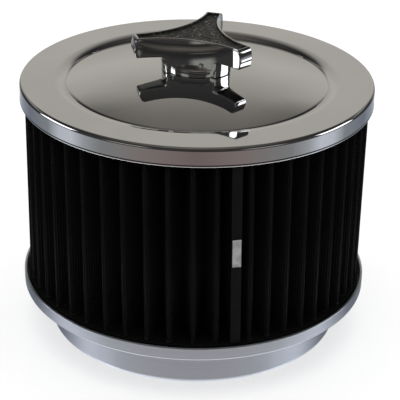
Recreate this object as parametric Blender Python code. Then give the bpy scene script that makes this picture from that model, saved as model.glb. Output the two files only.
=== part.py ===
"""Round carburettor air cleaner.

A turned base with a neck collar, a pleated gauze element, a domed chrome lid and a
three-arm knob on a threaded centre stud.

Frame: metres, +Z up along the stud, z = 0 on the bottom rim of the neck collar.
All dimensions below are in millimetres and are scaled by MM when vertices are made.
"""

import math

import bmesh
import bpy

MM = 0.001
TURN_SEGMENTS = 48          # facets around the large turned pieces
SMALL_SEGMENTS = 24         # facets around the stud, the insert and the washer
FIT_GAP = 0.3               # clearance between pieces that touch

# Neck collar: fits over a 5-1/8 in air horn
NECK_BORE_R = 65.09
NECK_OUTER_R = 70.0
NECK_HEIGHT = 20.0
NECK_LEDGE_Z = 14.8         # underside of the inner ledge that meets the gasket
NECK_LEDGE_R = 59.0
NECK_SPIGOT_R = 63.6        # spigot that rises through the tray's floor
NECK_SPIGOT_WALL = 1.6
NECK_SPIGOT_TOP = 24.0
NECK_RIM_RADIUS = 1.6       # rounding of the rim's outer edge
NECK_BORE_CHAMFER = 0.8

# Neck gasket
GASKET_INNER_R = 59.8
GASKET_THICKNESS = 1.5

# Base tray
TRAY_OUTER_R = 83.0
TRAY_WALL = 1.4
TRAY_FLOOR_THICKNESS = 1.6
TRAY_BOTTOM = NECK_HEIGHT + FIT_GAP
TRAY_TOP = 26.6
TRAY_LOWER_CHAMFER = 0.8
TRAY_LIP_CHAMFER = 0.4

# Element
PLEATS = 52
PLEAT_OUTER_R = 80.4
PLEAT_INNER_R = 66.0
PLEAT_TIP_HALF_WIDTH = 2.2
PLEAT_NARROWING = 0.75      # how much a tip's half width shrinks for each unit of depth
MESH_THICKNESS = 0.35
MEDIA_THICKNESS = 1.2
SEAL_OUTER_R = 81.0
SEAL_CHAMFER = 0.6
SEAL_INNER_R = 66.2
BOTTOM_SEAL_HEIGHT = 5.2
TOP_SEAL_BOTTOM = 117.5
TOP_SEAL_TOP = 122.4

# Seam strip and its blank label
SEAM_AZIMUTH = math.radians(-76.6)
SEAM_WIDTH = 5.2
SEAM_THICKNESS = 0.5
LABEL_WIDTH = 4.8
LABEL_THICKNESS = 0.15
LABEL_BOTTOM = 66.5
LABEL_TOP = 79.7

# Lid: pressed steel sheet
LID_OUTER_R = 82.5
LID_SHEET = 0.8
LID_SKIRT_BOTTOM = 114.7
LID_RIM_Z = 123.6           # top of the flat outer band
LID_CORNER_R = 1.6
LID_ROLL_START_R = 66.7      # where the flat band starts to roll down towards the dome
LID_ROLL_R = 10.0
LID_ROLL_DEG = 35.0
LID_STEP_INNER_R = LID_ROLL_START_R - LID_ROLL_R * math.sin(math.radians(LID_ROLL_DEG))
LID_STEP_FOOT_Z = LID_RIM_Z - LID_ROLL_R * (1.0 - math.cos(math.radians(LID_ROLL_DEG)))
LID_APEX_Z = 129.0
LID_HOLE_R = 3.6

# Centre stud: 1/4-20 rod
STUD_R = 3.17
STUD_BOTTOM = 3.0
STUD_TOP = 139.5
STUD_CHAMFER = 0.6

# Knob
KNOB_BOTTOM = LID_APEX_Z + FIT_GAP
KNOB_TOP = 145.5
KNOB_ARM_BOTTOM = 136.0
KNOB_SCALLOP_BOTTOM = 133.0
KNOB_ARM_AZIMUTHS = [math.radians(a) for a in (75.0, 195.0, 315.0)]
KNOB_TIP_R = 29.2
KNOB_TIP_HALF_WIDTH = 3.8
KNOB_TIP_BULGE = 1.5
KNOB_SCALLOP_NEAR_R = 11.3  # closest the concave sides come to the axis
KNOB_LOBE_R = 17.5
KNOB_FOOT_R = 15.4
KNOB_FOOT_HEIGHT = 2.7
KNOB_SCALLOP_STEPS = 12
KNOB_RIM = 0.8
KNOB_RECESS_DEPTH = 2.5
KNOB_SEAL_POCKET_R = 11.6
KNOB_SEAL_POCKET_TOP = 131.3
KNOB_BORE_R = 4.8
KNOB_BORE_TOP = 141.0
INLAY_THICKNESS = 0.8

# Knob insert and seal washer
INSERT_OUTER_R = 4.4
INSERT_INNER_R = 3.4
INSERT_TOP = 140.0
INSERT_SETBACK = 0.2        # how far the bush stands back from the washer's pocket
SEAL_WASHER_R = 11.0
SEAL_WASHER_HOLE_R = 4.2
SEAL_WASHER_THICKNESS = 1.5


def clear_scene():
    """Remove whatever objects the scene starts with."""
    for obj in list(bpy.data.objects):
        bpy.data.objects.remove(obj, do_unlink=True)


def material(name, colour, roughness, metallic):
    """A Principled material of one colour."""
    mat = bpy.data.materials.new(name)
    mat.use_nodes = True
    shader = mat.node_tree.nodes["Principled BSDF"]
    shader.inputs["Base Color"].default_value = (*colour, 1.0)
    shader.inputs["Roughness"].default_value = roughness
    shader.inputs["Metallic"].default_value = metallic
    return mat


def finish(name, mesh_builder, mat, smooth_angle=35.0):
    """Turn a bmesh into a named, shaded object with its faces pointing out."""
    bmesh.ops.recalc_face_normals(mesh_builder, faces=mesh_builder.faces)
    mesh = bpy.data.meshes.new(name)
    mesh_builder.to_mesh(mesh)
    mesh_builder.free()
    mesh.materials.append(mat)
    mesh.shade_smooth()
    mesh.set_sharp_from_angle(angle=math.radians(smooth_angle))
    obj = bpy.data.objects.new(name, mesh)
    bpy.context.scene.collection.objects.link(obj)
    return obj


def arc(centre_r, centre_z, radius, start_deg, end_deg, steps):
    """Profile points (r, z) along a circular arc, both ends included."""
    points = []
    for i in range(steps + 1):
        angle = math.radians(start_deg + (end_deg - start_deg) * i / steps)
        points.append((centre_r + radius * math.cos(angle), centre_z + radius * math.sin(angle)))
    return points


def turned(name, profile, mat, segments=TURN_SEGMENTS):
    """A ring turned about +Z from a closed profile of (r, z) points that stays off the axis."""
    builder = bmesh.new()
    verts = [builder.verts.new((r * MM, 0.0, z * MM)) for r, z in profile]
    edges = [builder.edges.new((verts[i], verts[i - 1])) for i in range(len(verts))]
    bmesh.ops.spin(
        builder,
        geom=verts + edges,
        cent=(0.0, 0.0, 0.0),
        axis=(0.0, 0.0, 1.0),
        angle=2.0 * math.pi,
        steps=segments,
        use_merge=True,
    )
    return finish(name, builder, mat)


def loft(name, rings, mat, smooth_angle=35.0):
    """A closed solid through rings of equally many (x, y, z) points, capped at both ends."""
    builder = bmesh.new()
    loops = [[builder.verts.new((x * MM, y * MM, z * MM)) for x, y, z in ring] for ring in rings]
    for lower, upper in zip(loops, loops[1:]):
        for i in range(len(lower)):
            builder.faces.new((lower[i - 1], lower[i], upper[i], upper[i - 1]))
    builder.faces.new(loops[0])
    builder.faces.new(loops[-1])
    return finish(name, builder, mat, smooth_angle)


def circle_ring(radius, z, segments):
    """Points around a circle at height z."""
    ring = []
    for i in range(segments):
        angle = 2.0 * math.pi * i / segments
        ring.append((radius * math.cos(angle), radius * math.sin(angle), z))
    return ring


# ---------------------------------------------------------------- base

def make_base_tray(mat):
    """Tray with a flat floor and a short upright lip, open over the neck."""
    inner_r = TRAY_OUTER_R - TRAY_WALL
    floor_top = TRAY_BOTTOM + TRAY_FLOOR_THICKNESS
    hole_r = NECK_SPIGOT_R + FIT_GAP
    profile = [
        (hole_r, TRAY_BOTTOM),
        (TRAY_OUTER_R - TRAY_LOWER_CHAMFER, TRAY_BOTTOM),
        (TRAY_OUTER_R, TRAY_BOTTOM + TRAY_LOWER_CHAMFER),
        (TRAY_OUTER_R, TRAY_TOP - TRAY_LIP_CHAMFER),
        (TRAY_OUTER_R - TRAY_LIP_CHAMFER, TRAY_TOP),
        (inner_r + TRAY_LIP_CHAMFER, TRAY_TOP),
        (inner_r, TRAY_TOP - TRAY_LIP_CHAMFER),
        (inner_r, floor_top),
        (hole_r, floor_top),
    ]
    return turned("base_tray", profile, mat)


def make_neck_collar(mat):
    """Neck ring with a shoulder under the tray, a spigot through it and an inner ledge."""
    profile = [
        (NECK_OUTER_R, NECK_HEIGHT),
        *arc(NECK_OUTER_R - NECK_RIM_RADIUS, NECK_RIM_RADIUS, NECK_RIM_RADIUS, 0.0, -90.0, 3),
        (NECK_BORE_R + NECK_BORE_CHAMFER, 0.0),
        (NECK_BORE_R, NECK_BORE_CHAMFER),
        (NECK_BORE_R, NECK_LEDGE_Z),
        (NECK_LEDGE_R, NECK_LEDGE_Z),
        (NECK_LEDGE_R, NECK_LEDGE_Z + NECK_SPIGOT_WALL),
        (NECK_SPIGOT_R - NECK_SPIGOT_WALL - 0.8, NECK_HEIGHT - 1.0),
        (NECK_SPIGOT_R - NECK_SPIGOT_WALL, NECK_SPIGOT_TOP),
        (NECK_SPIGOT_R, NECK_SPIGOT_TOP),
        (NECK_SPIGOT_R, NECK_HEIGHT),
    ]
    return turned("neck_collar", profile, mat)


def make_neck_gasket(mat):
    """Flat ring pressed against the underside of the collar's ledge."""
    top = NECK_LEDGE_Z - FIT_GAP
    outer_r = NECK_BORE_R - FIT_GAP
    profile = [
        (outer_r, top),
        (outer_r, top - GASKET_THICKNESS),
        (GASKET_INNER_R, top - GASKET_THICKNESS),
        (GASKET_INNER_R, top),
    ]
    return turned("neck_gasket", profile, mat)


def make_centre_stud(mat):
    """Plain rod at the thread's outer diameter, chamfered at both ends."""
    levels = [
        (STUD_R - STUD_CHAMFER, STUD_BOTTOM),
        (STUD_R, STUD_BOTTOM + STUD_CHAMFER),
        (STUD_R, STUD_TOP - STUD_CHAMFER),
        (STUD_R - STUD_CHAMFER, STUD_TOP),
    ]
    rings = [circle_ring(r, z, SMALL_SEGMENTS) for r, z in levels]
    return loft("centre_stud", rings, mat)


# ---------------------------------------------------------------- element

def pleat_loop(depth, total_depth):
    """Outline of the pleat pack, offset inward by depth from its outermost face.

    Each pleat has a flat tip and a flat valley; offsetting narrows the tip and widens the
    valley by the same amount, because both turn through the same angle.
    """
    pitch = 2.0 * math.pi / PLEATS
    tip_r = PLEAT_OUTER_R - depth
    valley_r = PLEAT_INNER_R + total_depth - depth
    tip_half = (PLEAT_TIP_HALF_WIDTH - PLEAT_NARROWING * depth) / tip_r
    valley_half = (PLEAT_TIP_HALF_WIDTH - PLEAT_NARROWING * (total_depth - depth)) / valley_r
    loop = []
    for i in range(PLEATS):
        centre = SEAM_AZIMUTH + pitch * i
        valley = centre + pitch / 2.0
        loop.append((tip_r, centre - tip_half))
        loop.append((tip_r, centre + tip_half))
        loop.append((valley_r, valley - valley_half))
        loop.append((valley_r, valley + valley_half))
    return [(r * math.cos(a), r * math.sin(a)) for r, a in loop]


def pleated_layer(name, outer_depth, thickness, mat):
    """One layer of the pleat pack: a zigzag wall between the two end seals."""
    total = pack_thickness()
    outer = pleat_loop(outer_depth, total)
    inner = pleat_loop(outer_depth + thickness, total)
    bottom = bottom_seal_top() + FIT_GAP
    top = TOP_SEAL_BOTTOM - FIT_GAP
    builder = bmesh.new()
    loops = []
    for loop, z in ((outer, bottom), (outer, top), (inner, top), (inner, bottom)):
        loops.append([builder.verts.new((x * MM, y * MM, z * MM)) for x, y in loop])
    for first, second in zip(loops, loops[1:] + loops[:1]):
        for i in range(len(first)):
            builder.faces.new((first[i - 1], first[i], second[i], second[i - 1]))
    return finish(name, builder, mat, smooth_angle=25.0)


def pack_thickness():
    """Total thickness of mesh, medium and mesh with the gaps between them."""
    return 2.0 * MESH_THICKNESS + MEDIA_THICKNESS + 2.0 * FIT_GAP


def bottom_seal_bottom():
    """The bottom seal rests on the tray's floor."""
    return TRAY_BOTTOM + TRAY_FLOOR_THICKNESS + FIT_GAP


def bottom_seal_top():
    """Top face of the bottom seal, where the pleats start."""
    return bottom_seal_bottom() + BOTTOM_SEAL_HEIGHT


def make_end_seal(name, bottom, top, mat):
    """Moulded ring that the pleats' ends are potted in."""
    profile = [
        (SEAL_OUTER_R, bottom + SEAL_CHAMFER),
        (SEAL_OUTER_R, top - SEAL_CHAMFER),
        (SEAL_OUTER_R - SEAL_CHAMFER, top),
        (SEAL_INNER_R, top),
        (SEAL_INNER_R, bottom),
        (SEAL_OUTER_R - SEAL_CHAMFER, bottom),
    ]
    return turned(name, profile, mat)


def plate_on_element(name, inner_r, size, bottom, top, mat):
    """A thin upright plate of (thickness, width) facing outward at the seam's azimuth."""
    thickness, width = size
    across = (-math.sin(SEAM_AZIMUTH), math.cos(SEAM_AZIMUTH))
    outward = (math.cos(SEAM_AZIMUTH), math.sin(SEAM_AZIMUTH))
    rings = []
    for z in (bottom, top):
        ring = []
        for r, s in (
            (inner_r, -0.5),
            (inner_r + thickness, -0.5),
            (inner_r + thickness, 0.5),
            (inner_r, 0.5),
        ):
            x = outward[0] * r + across[0] * s * width
            y = outward[1] * r + across[1] * s * width
            ring.append((x, y, z))
        rings.append(ring)
    return loft(name, rings, mat)


def make_element(mats):
    """The pleat pack, its two end seals and the strip that closes its joint."""
    media_depth = MESH_THICKNESS + FIT_GAP
    inner_mesh_depth = media_depth + MEDIA_THICKNESS + FIT_GAP
    pleated_layer("outer_wire_mesh", 0.0, MESH_THICKNESS, mats["wire"])
    pleated_layer("pleated_media", media_depth, MEDIA_THICKNESS, mats["cotton"])
    pleated_layer("inner_wire_mesh", inner_mesh_depth, MESH_THICKNESS, mats["wire"])
    make_end_seal("bottom_end_seal", bottom_seal_bottom(), bottom_seal_top(), mats["seal"])
    make_end_seal("top_end_seal", TOP_SEAL_BOTTOM, TOP_SEAL_TOP, mats["seal"])
    strip_r = PLEAT_OUTER_R + FIT_GAP
    strip_bottom = bottom_seal_top() + FIT_GAP
    strip_top = TOP_SEAL_BOTTOM - FIT_GAP
    strip_size = (SEAM_THICKNESS, SEAM_WIDTH)
    plate_on_element("seam_strip", strip_r, strip_size, strip_bottom, strip_top, mats["strip"])
    label_r = strip_r + SEAM_THICKNESS + FIT_GAP
    label_size = (LABEL_THICKNESS, LABEL_WIDTH)
    plate_on_element("seam_label", label_r, label_size, LABEL_BOTTOM, LABEL_TOP, mats["label"])


# ---------------------------------------------------------------- lid

def dome_z(radius, offset=0.0):
    """Height of the lid's domed centre at a radius, lowered by offset."""
    fall = (LID_APEX_Z - LID_STEP_FOOT_Z) * (radius / LID_STEP_INNER_R) ** 2
    return LID_APEX_Z - fall - offset


def make_lid(mat):
    """Pressed lid: skirt, rounded corner, flat band that rolls down, and domed centre."""
    steps = 4
    roll_centre_z = LID_RIM_Z - LID_ROLL_R
    roll_end = 90.0 + LID_ROLL_DEG
    inward = (LID_HOLE_R - LID_STEP_INNER_R) / steps
    dome_radii = [LID_STEP_INNER_R + inward * i for i in range(steps + 1)]
    corner_centre_r = LID_OUTER_R - LID_CORNER_R
    corner_centre_z = LID_RIM_Z - LID_CORNER_R
    outside = [
        (LID_OUTER_R, LID_SKIRT_BOTTOM),
        *arc(corner_centre_r, corner_centre_z, LID_CORNER_R, 0.0, 90.0, 4),
        *arc(LID_ROLL_START_R, roll_centre_z, LID_ROLL_R, 90.0, roll_end, 3),
        *[(r, dome_z(r)) for r in dome_radii[1:]],
    ]
    inside = [
        *[(r, dome_z(r, LID_SHEET)) for r in reversed(dome_radii)],
        *arc(LID_ROLL_START_R, roll_centre_z, LID_ROLL_R - LID_SHEET, roll_end, 90.0, 3),
        *arc(corner_centre_r, corner_centre_z, LID_CORNER_R - LID_SHEET, 90.0, 0.0, 4),
        (LID_OUTER_R - LID_SHEET, LID_SKIRT_BOTTOM),
    ]
    return turned("lid", outside + inside, mat)


# ---------------------------------------------------------------- knob

def scallop_radius():
    """Radius of the concave side that joins the corners of two neighbouring arm tips."""
    corner_r = math.hypot(KNOB_TIP_R, KNOB_TIP_HALF_WIDTH)
    spread = math.radians(60.0) - math.atan2(KNOB_TIP_HALF_WIDTH, KNOB_TIP_R)
    along = corner_r * math.cos(spread) - KNOB_SCALLOP_NEAR_R
    across = corner_r * math.sin(spread)
    return (along ** 2 + across ** 2) / (2.0 * along)


def knob_outline(inset=0.0):
    """Top view of the knob as (radius, azimuth, on_tip), three tips and three concave sides.

    inset moves the whole outline inward, for the recessed top and its inlay.
    """
    radius = scallop_radius() + inset
    centre_distance = KNOB_SCALLOP_NEAR_R + scallop_radius()
    tip_r = KNOB_TIP_R - inset
    tip_half_width = KNOB_TIP_HALF_WIDTH - inset
    corner_r = math.hypot(tip_r, tip_half_width)
    spread = math.radians(60.0) - math.atan2(tip_half_width, tip_r)
    half_sweep = math.asin(corner_r * math.sin(spread) / radius)
    points = []
    for arm in KNOB_ARM_AZIMUTHS:
        points.append((tip_r, arm, True))
        middle = arm + math.radians(60.0)
        for i in range(KNOB_SCALLOP_STEPS + 1):
            sweep = half_sweep * (2.0 * i / KNOB_SCALLOP_STEPS - 1.0)
            along = centre_distance - radius * math.cos(sweep)
            across = radius * math.sin(sweep)
            point_r = math.hypot(along, across)
            on_tip = i in (0, KNOB_SCALLOP_STEPS)
            points.append((point_r, middle + math.atan2(across, along), on_tip))
    return points


def outline_ring(outline, z, limit=None, at_least=0.0, tip_growth=0.0):
    """Place an outline at height z, held between two radii; tips may grow outward."""
    ring = []
    for radius, azimuth, on_tip in outline:
        if on_tip:
            radius += tip_growth
        if limit is not None:
            radius = min(radius, limit)
        radius = max(radius, at_least)
        ring.append((radius * math.cos(azimuth), radius * math.sin(azimuth), z))
    return ring


def outline_circle(outline, radius, z):
    """A circle that has its points at the outline's azimuths."""
    return [(radius * math.cos(a), radius * math.sin(a), z) for _, a, _ in outline]


def make_knob_body(mat):
    """Cast knob: bore and washer pocket below, lobed hub, three arms, recessed top."""
    side = knob_outline()
    recess = knob_outline(KNOB_RIM)
    foot_top = KNOB_BOTTOM + KNOB_FOOT_HEIGHT
    rings = [
        outline_circle(side, KNOB_BORE_R, KNOB_BORE_TOP),
        outline_circle(side, KNOB_BORE_R, KNOB_SEAL_POCKET_TOP),
        outline_circle(side, KNOB_SEAL_POCKET_R, KNOB_SEAL_POCKET_TOP),
        outline_circle(side, KNOB_SEAL_POCKET_R, KNOB_BOTTOM),
        outline_ring(side, KNOB_BOTTOM, limit=KNOB_LOBE_R - 0.8, at_least=KNOB_FOOT_R),
        outline_ring(side, foot_top, limit=KNOB_LOBE_R - 0.4, at_least=KNOB_FOOT_R),
        outline_ring(side, KNOB_SCALLOP_BOTTOM, limit=KNOB_LOBE_R),
        outline_ring(side, KNOB_ARM_BOTTOM, limit=KNOB_LOBE_R),
        outline_ring(side, KNOB_ARM_BOTTOM, tip_growth=-0.6),
        outline_ring(side, KNOB_ARM_BOTTOM + 1.3, tip_growth=0.8 * KNOB_TIP_BULGE),
        outline_ring(side, KNOB_ARM_BOTTOM + 3.0, tip_growth=KNOB_TIP_BULGE),
        outline_ring(side, KNOB_TOP),
        outline_ring(recess, KNOB_TOP),
        outline_ring(recess, KNOB_TOP - KNOB_RECESS_DEPTH),
    ]
    return loft("knob_body", rings, mat)


def make_knob_inlay(mat):
    """Textured plate lying in the knob's recessed top."""
    outline = knob_outline(KNOB_RIM + FIT_GAP)
    bottom = KNOB_TOP - KNOB_RECESS_DEPTH + FIT_GAP
    rings = [outline_ring(outline, bottom), outline_ring(outline, bottom + INLAY_THICKNESS)]
    return loft("knob_inlay", rings, mat)


def make_knob_insert(mat):
    """Threaded bush inside the knob's bore, at the thread's clearance diameter."""
    bottom = KNOB_SEAL_POCKET_TOP + INSERT_SETBACK
    profile = [
        (INSERT_OUTER_R, bottom),
        (INSERT_OUTER_R, INSERT_TOP),
        (INSERT_INNER_R, INSERT_TOP),
        (INSERT_INNER_R, bottom),
    ]
    return turned("knob_insert", profile, mat, SMALL_SEGMENTS)


def make_knob_seal(mat):
    """Rubber washer in the pocket under the knob."""
    bottom = KNOB_BOTTOM
    profile = [
        (SEAL_WASHER_R, bottom),
        (SEAL_WASHER_R, bottom + SEAL_WASHER_THICKNESS),
        (SEAL_WASHER_HOLE_R, bottom + SEAL_WASHER_THICKNESS),
        (SEAL_WASHER_HOLE_R, bottom),
    ]
    return turned("knob_seal", profile, mat, SMALL_SEGMENTS)


def main():
    clear_scene()
    mats = {
        "chrome": material("polished_chrome", (0.78, 0.78, 0.77), 0.06, 1.0),
        "turned": material("turned_aluminium", (0.60, 0.61, 0.63), 0.32, 1.0),
        "wire": material("black_wire_cloth", (0.02, 0.02, 0.02), 0.45, 0.0),
        "cotton": material("oiled_cotton", (0.015, 0.015, 0.015), 0.85, 0.0),
        "seal": material("black_moulded_seal", (0.03, 0.03, 0.03), 0.7, 0.0),
        "strip": material("black_strip", (0.04, 0.04, 0.04), 0.5, 0.0),
        "label": material("pale_label", (0.55, 0.56, 0.58), 0.5, 0.0),
        "gasket": material("grey_gasket", (0.12, 0.12, 0.11), 0.8, 0.0),
        "zinc": material("zinc_plated_steel", (0.62, 0.61, 0.58), 0.35, 1.0),
        "brass": material("brass", (0.72, 0.55, 0.28), 0.35, 1.0),
        "inlay": material("black_wrinkle", (0.02, 0.02, 0.02), 0.6, 0.0),
        "rubber": material("black_rubber", (0.02, 0.02, 0.02), 0.8, 0.0),
    }
    make_base_tray(mats["turned"])
    make_neck_collar(mats["turned"])
    make_neck_gasket(mats["gasket"])
    make_centre_stud(mats["zinc"])
    make_element(mats)
    make_lid(mats["chrome"])
    make_knob_body(mats["chrome"])
    make_knob_inlay(mats["inlay"])
    make_knob_insert(mats["brass"])
    make_knob_seal(mats["rubber"])


main()
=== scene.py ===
"""Looks of the round carburettor air cleaner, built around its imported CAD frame.

All lengths below are in millimetres unless a name says otherwise; MM turns them into metres.
"""

import math
import random

import bmesh
import bpy
import numpy as np
from mathutils import Matrix, Vector, noise


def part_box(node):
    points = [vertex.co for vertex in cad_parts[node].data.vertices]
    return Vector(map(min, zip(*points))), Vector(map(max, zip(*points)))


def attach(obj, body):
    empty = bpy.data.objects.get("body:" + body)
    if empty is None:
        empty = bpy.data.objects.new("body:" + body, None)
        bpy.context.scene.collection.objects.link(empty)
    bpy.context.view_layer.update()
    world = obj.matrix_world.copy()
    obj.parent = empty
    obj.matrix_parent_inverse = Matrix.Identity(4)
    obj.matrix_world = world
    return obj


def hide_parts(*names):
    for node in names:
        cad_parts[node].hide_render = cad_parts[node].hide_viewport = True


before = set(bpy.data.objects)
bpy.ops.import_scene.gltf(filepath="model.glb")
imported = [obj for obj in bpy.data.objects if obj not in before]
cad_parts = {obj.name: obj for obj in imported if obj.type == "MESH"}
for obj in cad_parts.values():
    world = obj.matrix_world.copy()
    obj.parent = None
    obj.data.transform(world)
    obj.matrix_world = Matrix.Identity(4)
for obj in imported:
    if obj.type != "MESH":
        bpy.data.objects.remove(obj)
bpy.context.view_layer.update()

MM = 0.001
ROUND_SEGMENTS = 256        # facets around the large turned pieces
SMALL_SEGMENTS = 64         # facets around the stud, bush and washer
HOLD = 0.08                 # distance of a flat stretch's holding loop from its end

# Pleat pack
PLEATS = 52
SEAM_AZIMUTH = math.radians(-76.85)
FIRST_PITCH = math.radians(4.9)     # from the seam to the first pleat beyond it
LAST_PITCH = math.radians(6.2)      # from the last pleat back to the seam
PITCH_DRIFT = 0.07                  # the pitch in between widens by this share either way
PLEAT_JITTER = math.radians(0.25)
PACK_TWIST = math.radians(1.1)      # the pack's foot is turned this far beyond its top
PLEAT_TURN_R = 1.5                  # radius of a pleat's fold on its outer face
PLEAT_STACK = 1.45                  # cloth, medium and cloth together
WIRE_R = 0.15
OUTER_WEFT_PITCH = 1.3              # between level wires
INNER_WEFT_PITCH = 1.95
WARP_PITCH = 1.3                    # between upright wires
CLOTH_DEPTH = 0.2                   # middle of each wire cloth below the pack's face
MEDIA_DEPTH = 0.45                  # cotton's outer face below the pack's face
MEDIA_THICKNESS = 0.65
POTTED = 1.0                        # how far the cotton reaches into each end seal
STRIP_WIDTH = 4.6
LABEL_WIDTH = 3.9

# Tray and neck
TRAY_HOLE_R = 63.9
TRAY_SHEET = 1.6
LIP_SHEET = 1.4
SPIGOT_R = 63.6
NECK_BORE_R = 65.09
LEDGE_R = 59.0
LEDGE_LOW = 14.8
LEDGE_HIGH = 16.4

# Lid
LID_RIM = 123.6             # top of the flat outer band
LID_APEX = 129.0
LID_SHEET = 0.8
ROLL_START_R = 66.7         # where the flat band starts to roll down towards the dome
ROLL_R = 10.0
ROLL_SWEEP = math.radians(35.0)
DOME_FOOT_R = ROLL_START_R - ROLL_R * math.sin(ROLL_SWEEP)
DOME_FOOT_Z = LID_RIM - ROLL_R * (1.0 - math.cos(ROLL_SWEEP))
CREASE_DEPTH = 0.2          # of the fine line pressed between roll and dome
LID_CORNER_R = 1.6
STUD_HOLE_R = 3.6
HEM_HEIGHT = 1.25
HEM_STANDS_OUT = 0.12

# Knob, seen from above
ARM_AZIMUTHS = [math.radians(a) for a in (75.0, 195.0, 315.0)]
TIP_R = 29.2
TIP_HALF_WIDTH = 3.8
SCALLOP_NEAR_R = 11.3       # nearest the concave sides come to the axis
LOBE_R = 17.5               # hub, where it runs out under each arm
FOOT_R = 15.4
RIM_WIDTH = 0.8
RECESS_DEPTH = 2.5

# Knob, from the side
BORE_R = 4.8
BORE_TOP = 141.0
POCKET_R = 11.6
POCKET_TOP = 131.3
SEAT_GAP = 0.12             # between the foot and the lid's dome
ARM_LOW = 136.0
TIP_BULGE = 1.5             # how far an arm's end face stands out where it is fullest
TIP_FULLEST = 140.0
TIP_EASED = 145.45          # height at which the end face has come back in

THREAD_PITCH = 1.27
THREAD_DEPTH = 0.75


def radii(name):
    """Distances of a CAD node's corners from the axis, in millimetres."""
    return [math.hypot(v.co.x, v.co.y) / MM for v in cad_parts[name].data.vertices]


def reach(name):
    """Outer radius of a round CAD node, in millimetres."""
    return max(radii(name))


def bore(name):
    """Inner radius of a round CAD node, in millimetres."""
    return min(radii(name))


def bottom(name):
    """Lowest height of a CAD node, in millimetres."""
    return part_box(name)[0].z / MM


def top(name):
    """Highest height of a CAD node, in millimetres."""
    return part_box(name)[1].z / MM


# ---------------------------------------------------------------- mesh helpers

def mesh_object(name, verts, faces, smooth_angle=30.0):
    """An object from vertices in millimetres, with its faces pointing out."""
    mesh = bpy.data.meshes.new(name)
    mesh.from_pydata([(x * MM, y * MM, z * MM) for x, y, z in verts], [], faces)
    builder = bmesh.new()
    builder.from_mesh(mesh)
    bmesh.ops.recalc_face_normals(builder, faces=builder.faces)
    builder.to_mesh(mesh)
    builder.free()
    mesh.shade_smooth()
    mesh.set_sharp_from_angle(angle=math.radians(smooth_angle))
    obj = bpy.data.objects.new(name, mesh)
    bpy.context.scene.collection.objects.link(obj)
    return obj


def filleted(corners, steps=5, hold=HOLD):
    """Closed outline from (x, y, fillet radius) corners, with holding points on the straights."""
    points = []
    count = len(corners)
    for i, (x, y, radius) in enumerate(corners):
        here = Vector((x, y))
        before = Vector(corners[i - 1][:2]) - here
        after = Vector(corners[(i + 1) % count][:2]) - here
        if radius <= 0.0:
            points.append((x, y))
            continue
        turn = math.pi - before.angle(after)
        setback = radius * math.tan(turn / 2.0)
        start = here + before.normalized() * setback
        end = here + after.normalized() * setback
        centre = here + (before.normalized() + after.normalized()).normalized() * (
            radius / math.cos(turn / 2.0)
        )
        if hold and before.length > setback + 2.0 * hold:
            points.append(tuple(start + before.normalized() * hold))
        from_centre = start - centre
        to_centre = end - centre
        swing = from_centre.angle_signed(to_centre)
        for k in range(steps + 1):
            turned_by = Matrix.Rotation(-swing * k / steps, 2)
            points.append(tuple(centre + turned_by @ from_centre))
        if hold and after.length > setback + 2.0 * hold:
            points.append(tuple(end + after.normalized() * hold))
    return points


def turned(name, profile, segments=ROUND_SEGMENTS):
    """A ring turned about +Z from a closed profile of (r, z) points that stays off the axis."""
    count = len(profile)
    verts = []
    for i in range(segments):
        angle = 2.0 * math.pi * i / segments
        for r, z in profile:
            verts.append((r * math.cos(angle), r * math.sin(angle), z))
    faces = []
    for i in range(segments):
        here = i * count
        beyond = ((i + 1) % segments) * count
        for k in range(count):
            after = (k + 1) % count
            faces.append((here + k, here + after, beyond + after, beyond + k))
    return mesh_object(name, verts, faces)


def loft(name, rings, smooth_angle=30.0):
    """A closed solid through rings of equally many points, capped at both ends."""
    count = len(rings[0])
    verts = [point for ring in rings for point in ring]
    faces = []
    for level in range(len(rings) - 1):
        low = level * count
        high = low + count
        for k in range(count):
            after = (k + 1) % count
            faces.append((low + k, low + after, high + after, high + k))
    faces.append(tuple(range(count)))
    faces.append(tuple(range(len(verts) - count, len(verts))))
    return mesh_object(name, verts, faces, smooth_angle)


def dress(obj, body, slot, material, *nodes):
    """Hang a piece on its CAD body, in place of its nodes, with its material."""
    obj.data.materials.clear()
    obj.data.materials.append(material)
    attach(obj, body)
    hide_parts(*nodes)


# ---------------------------------------------------------------- materials

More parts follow.
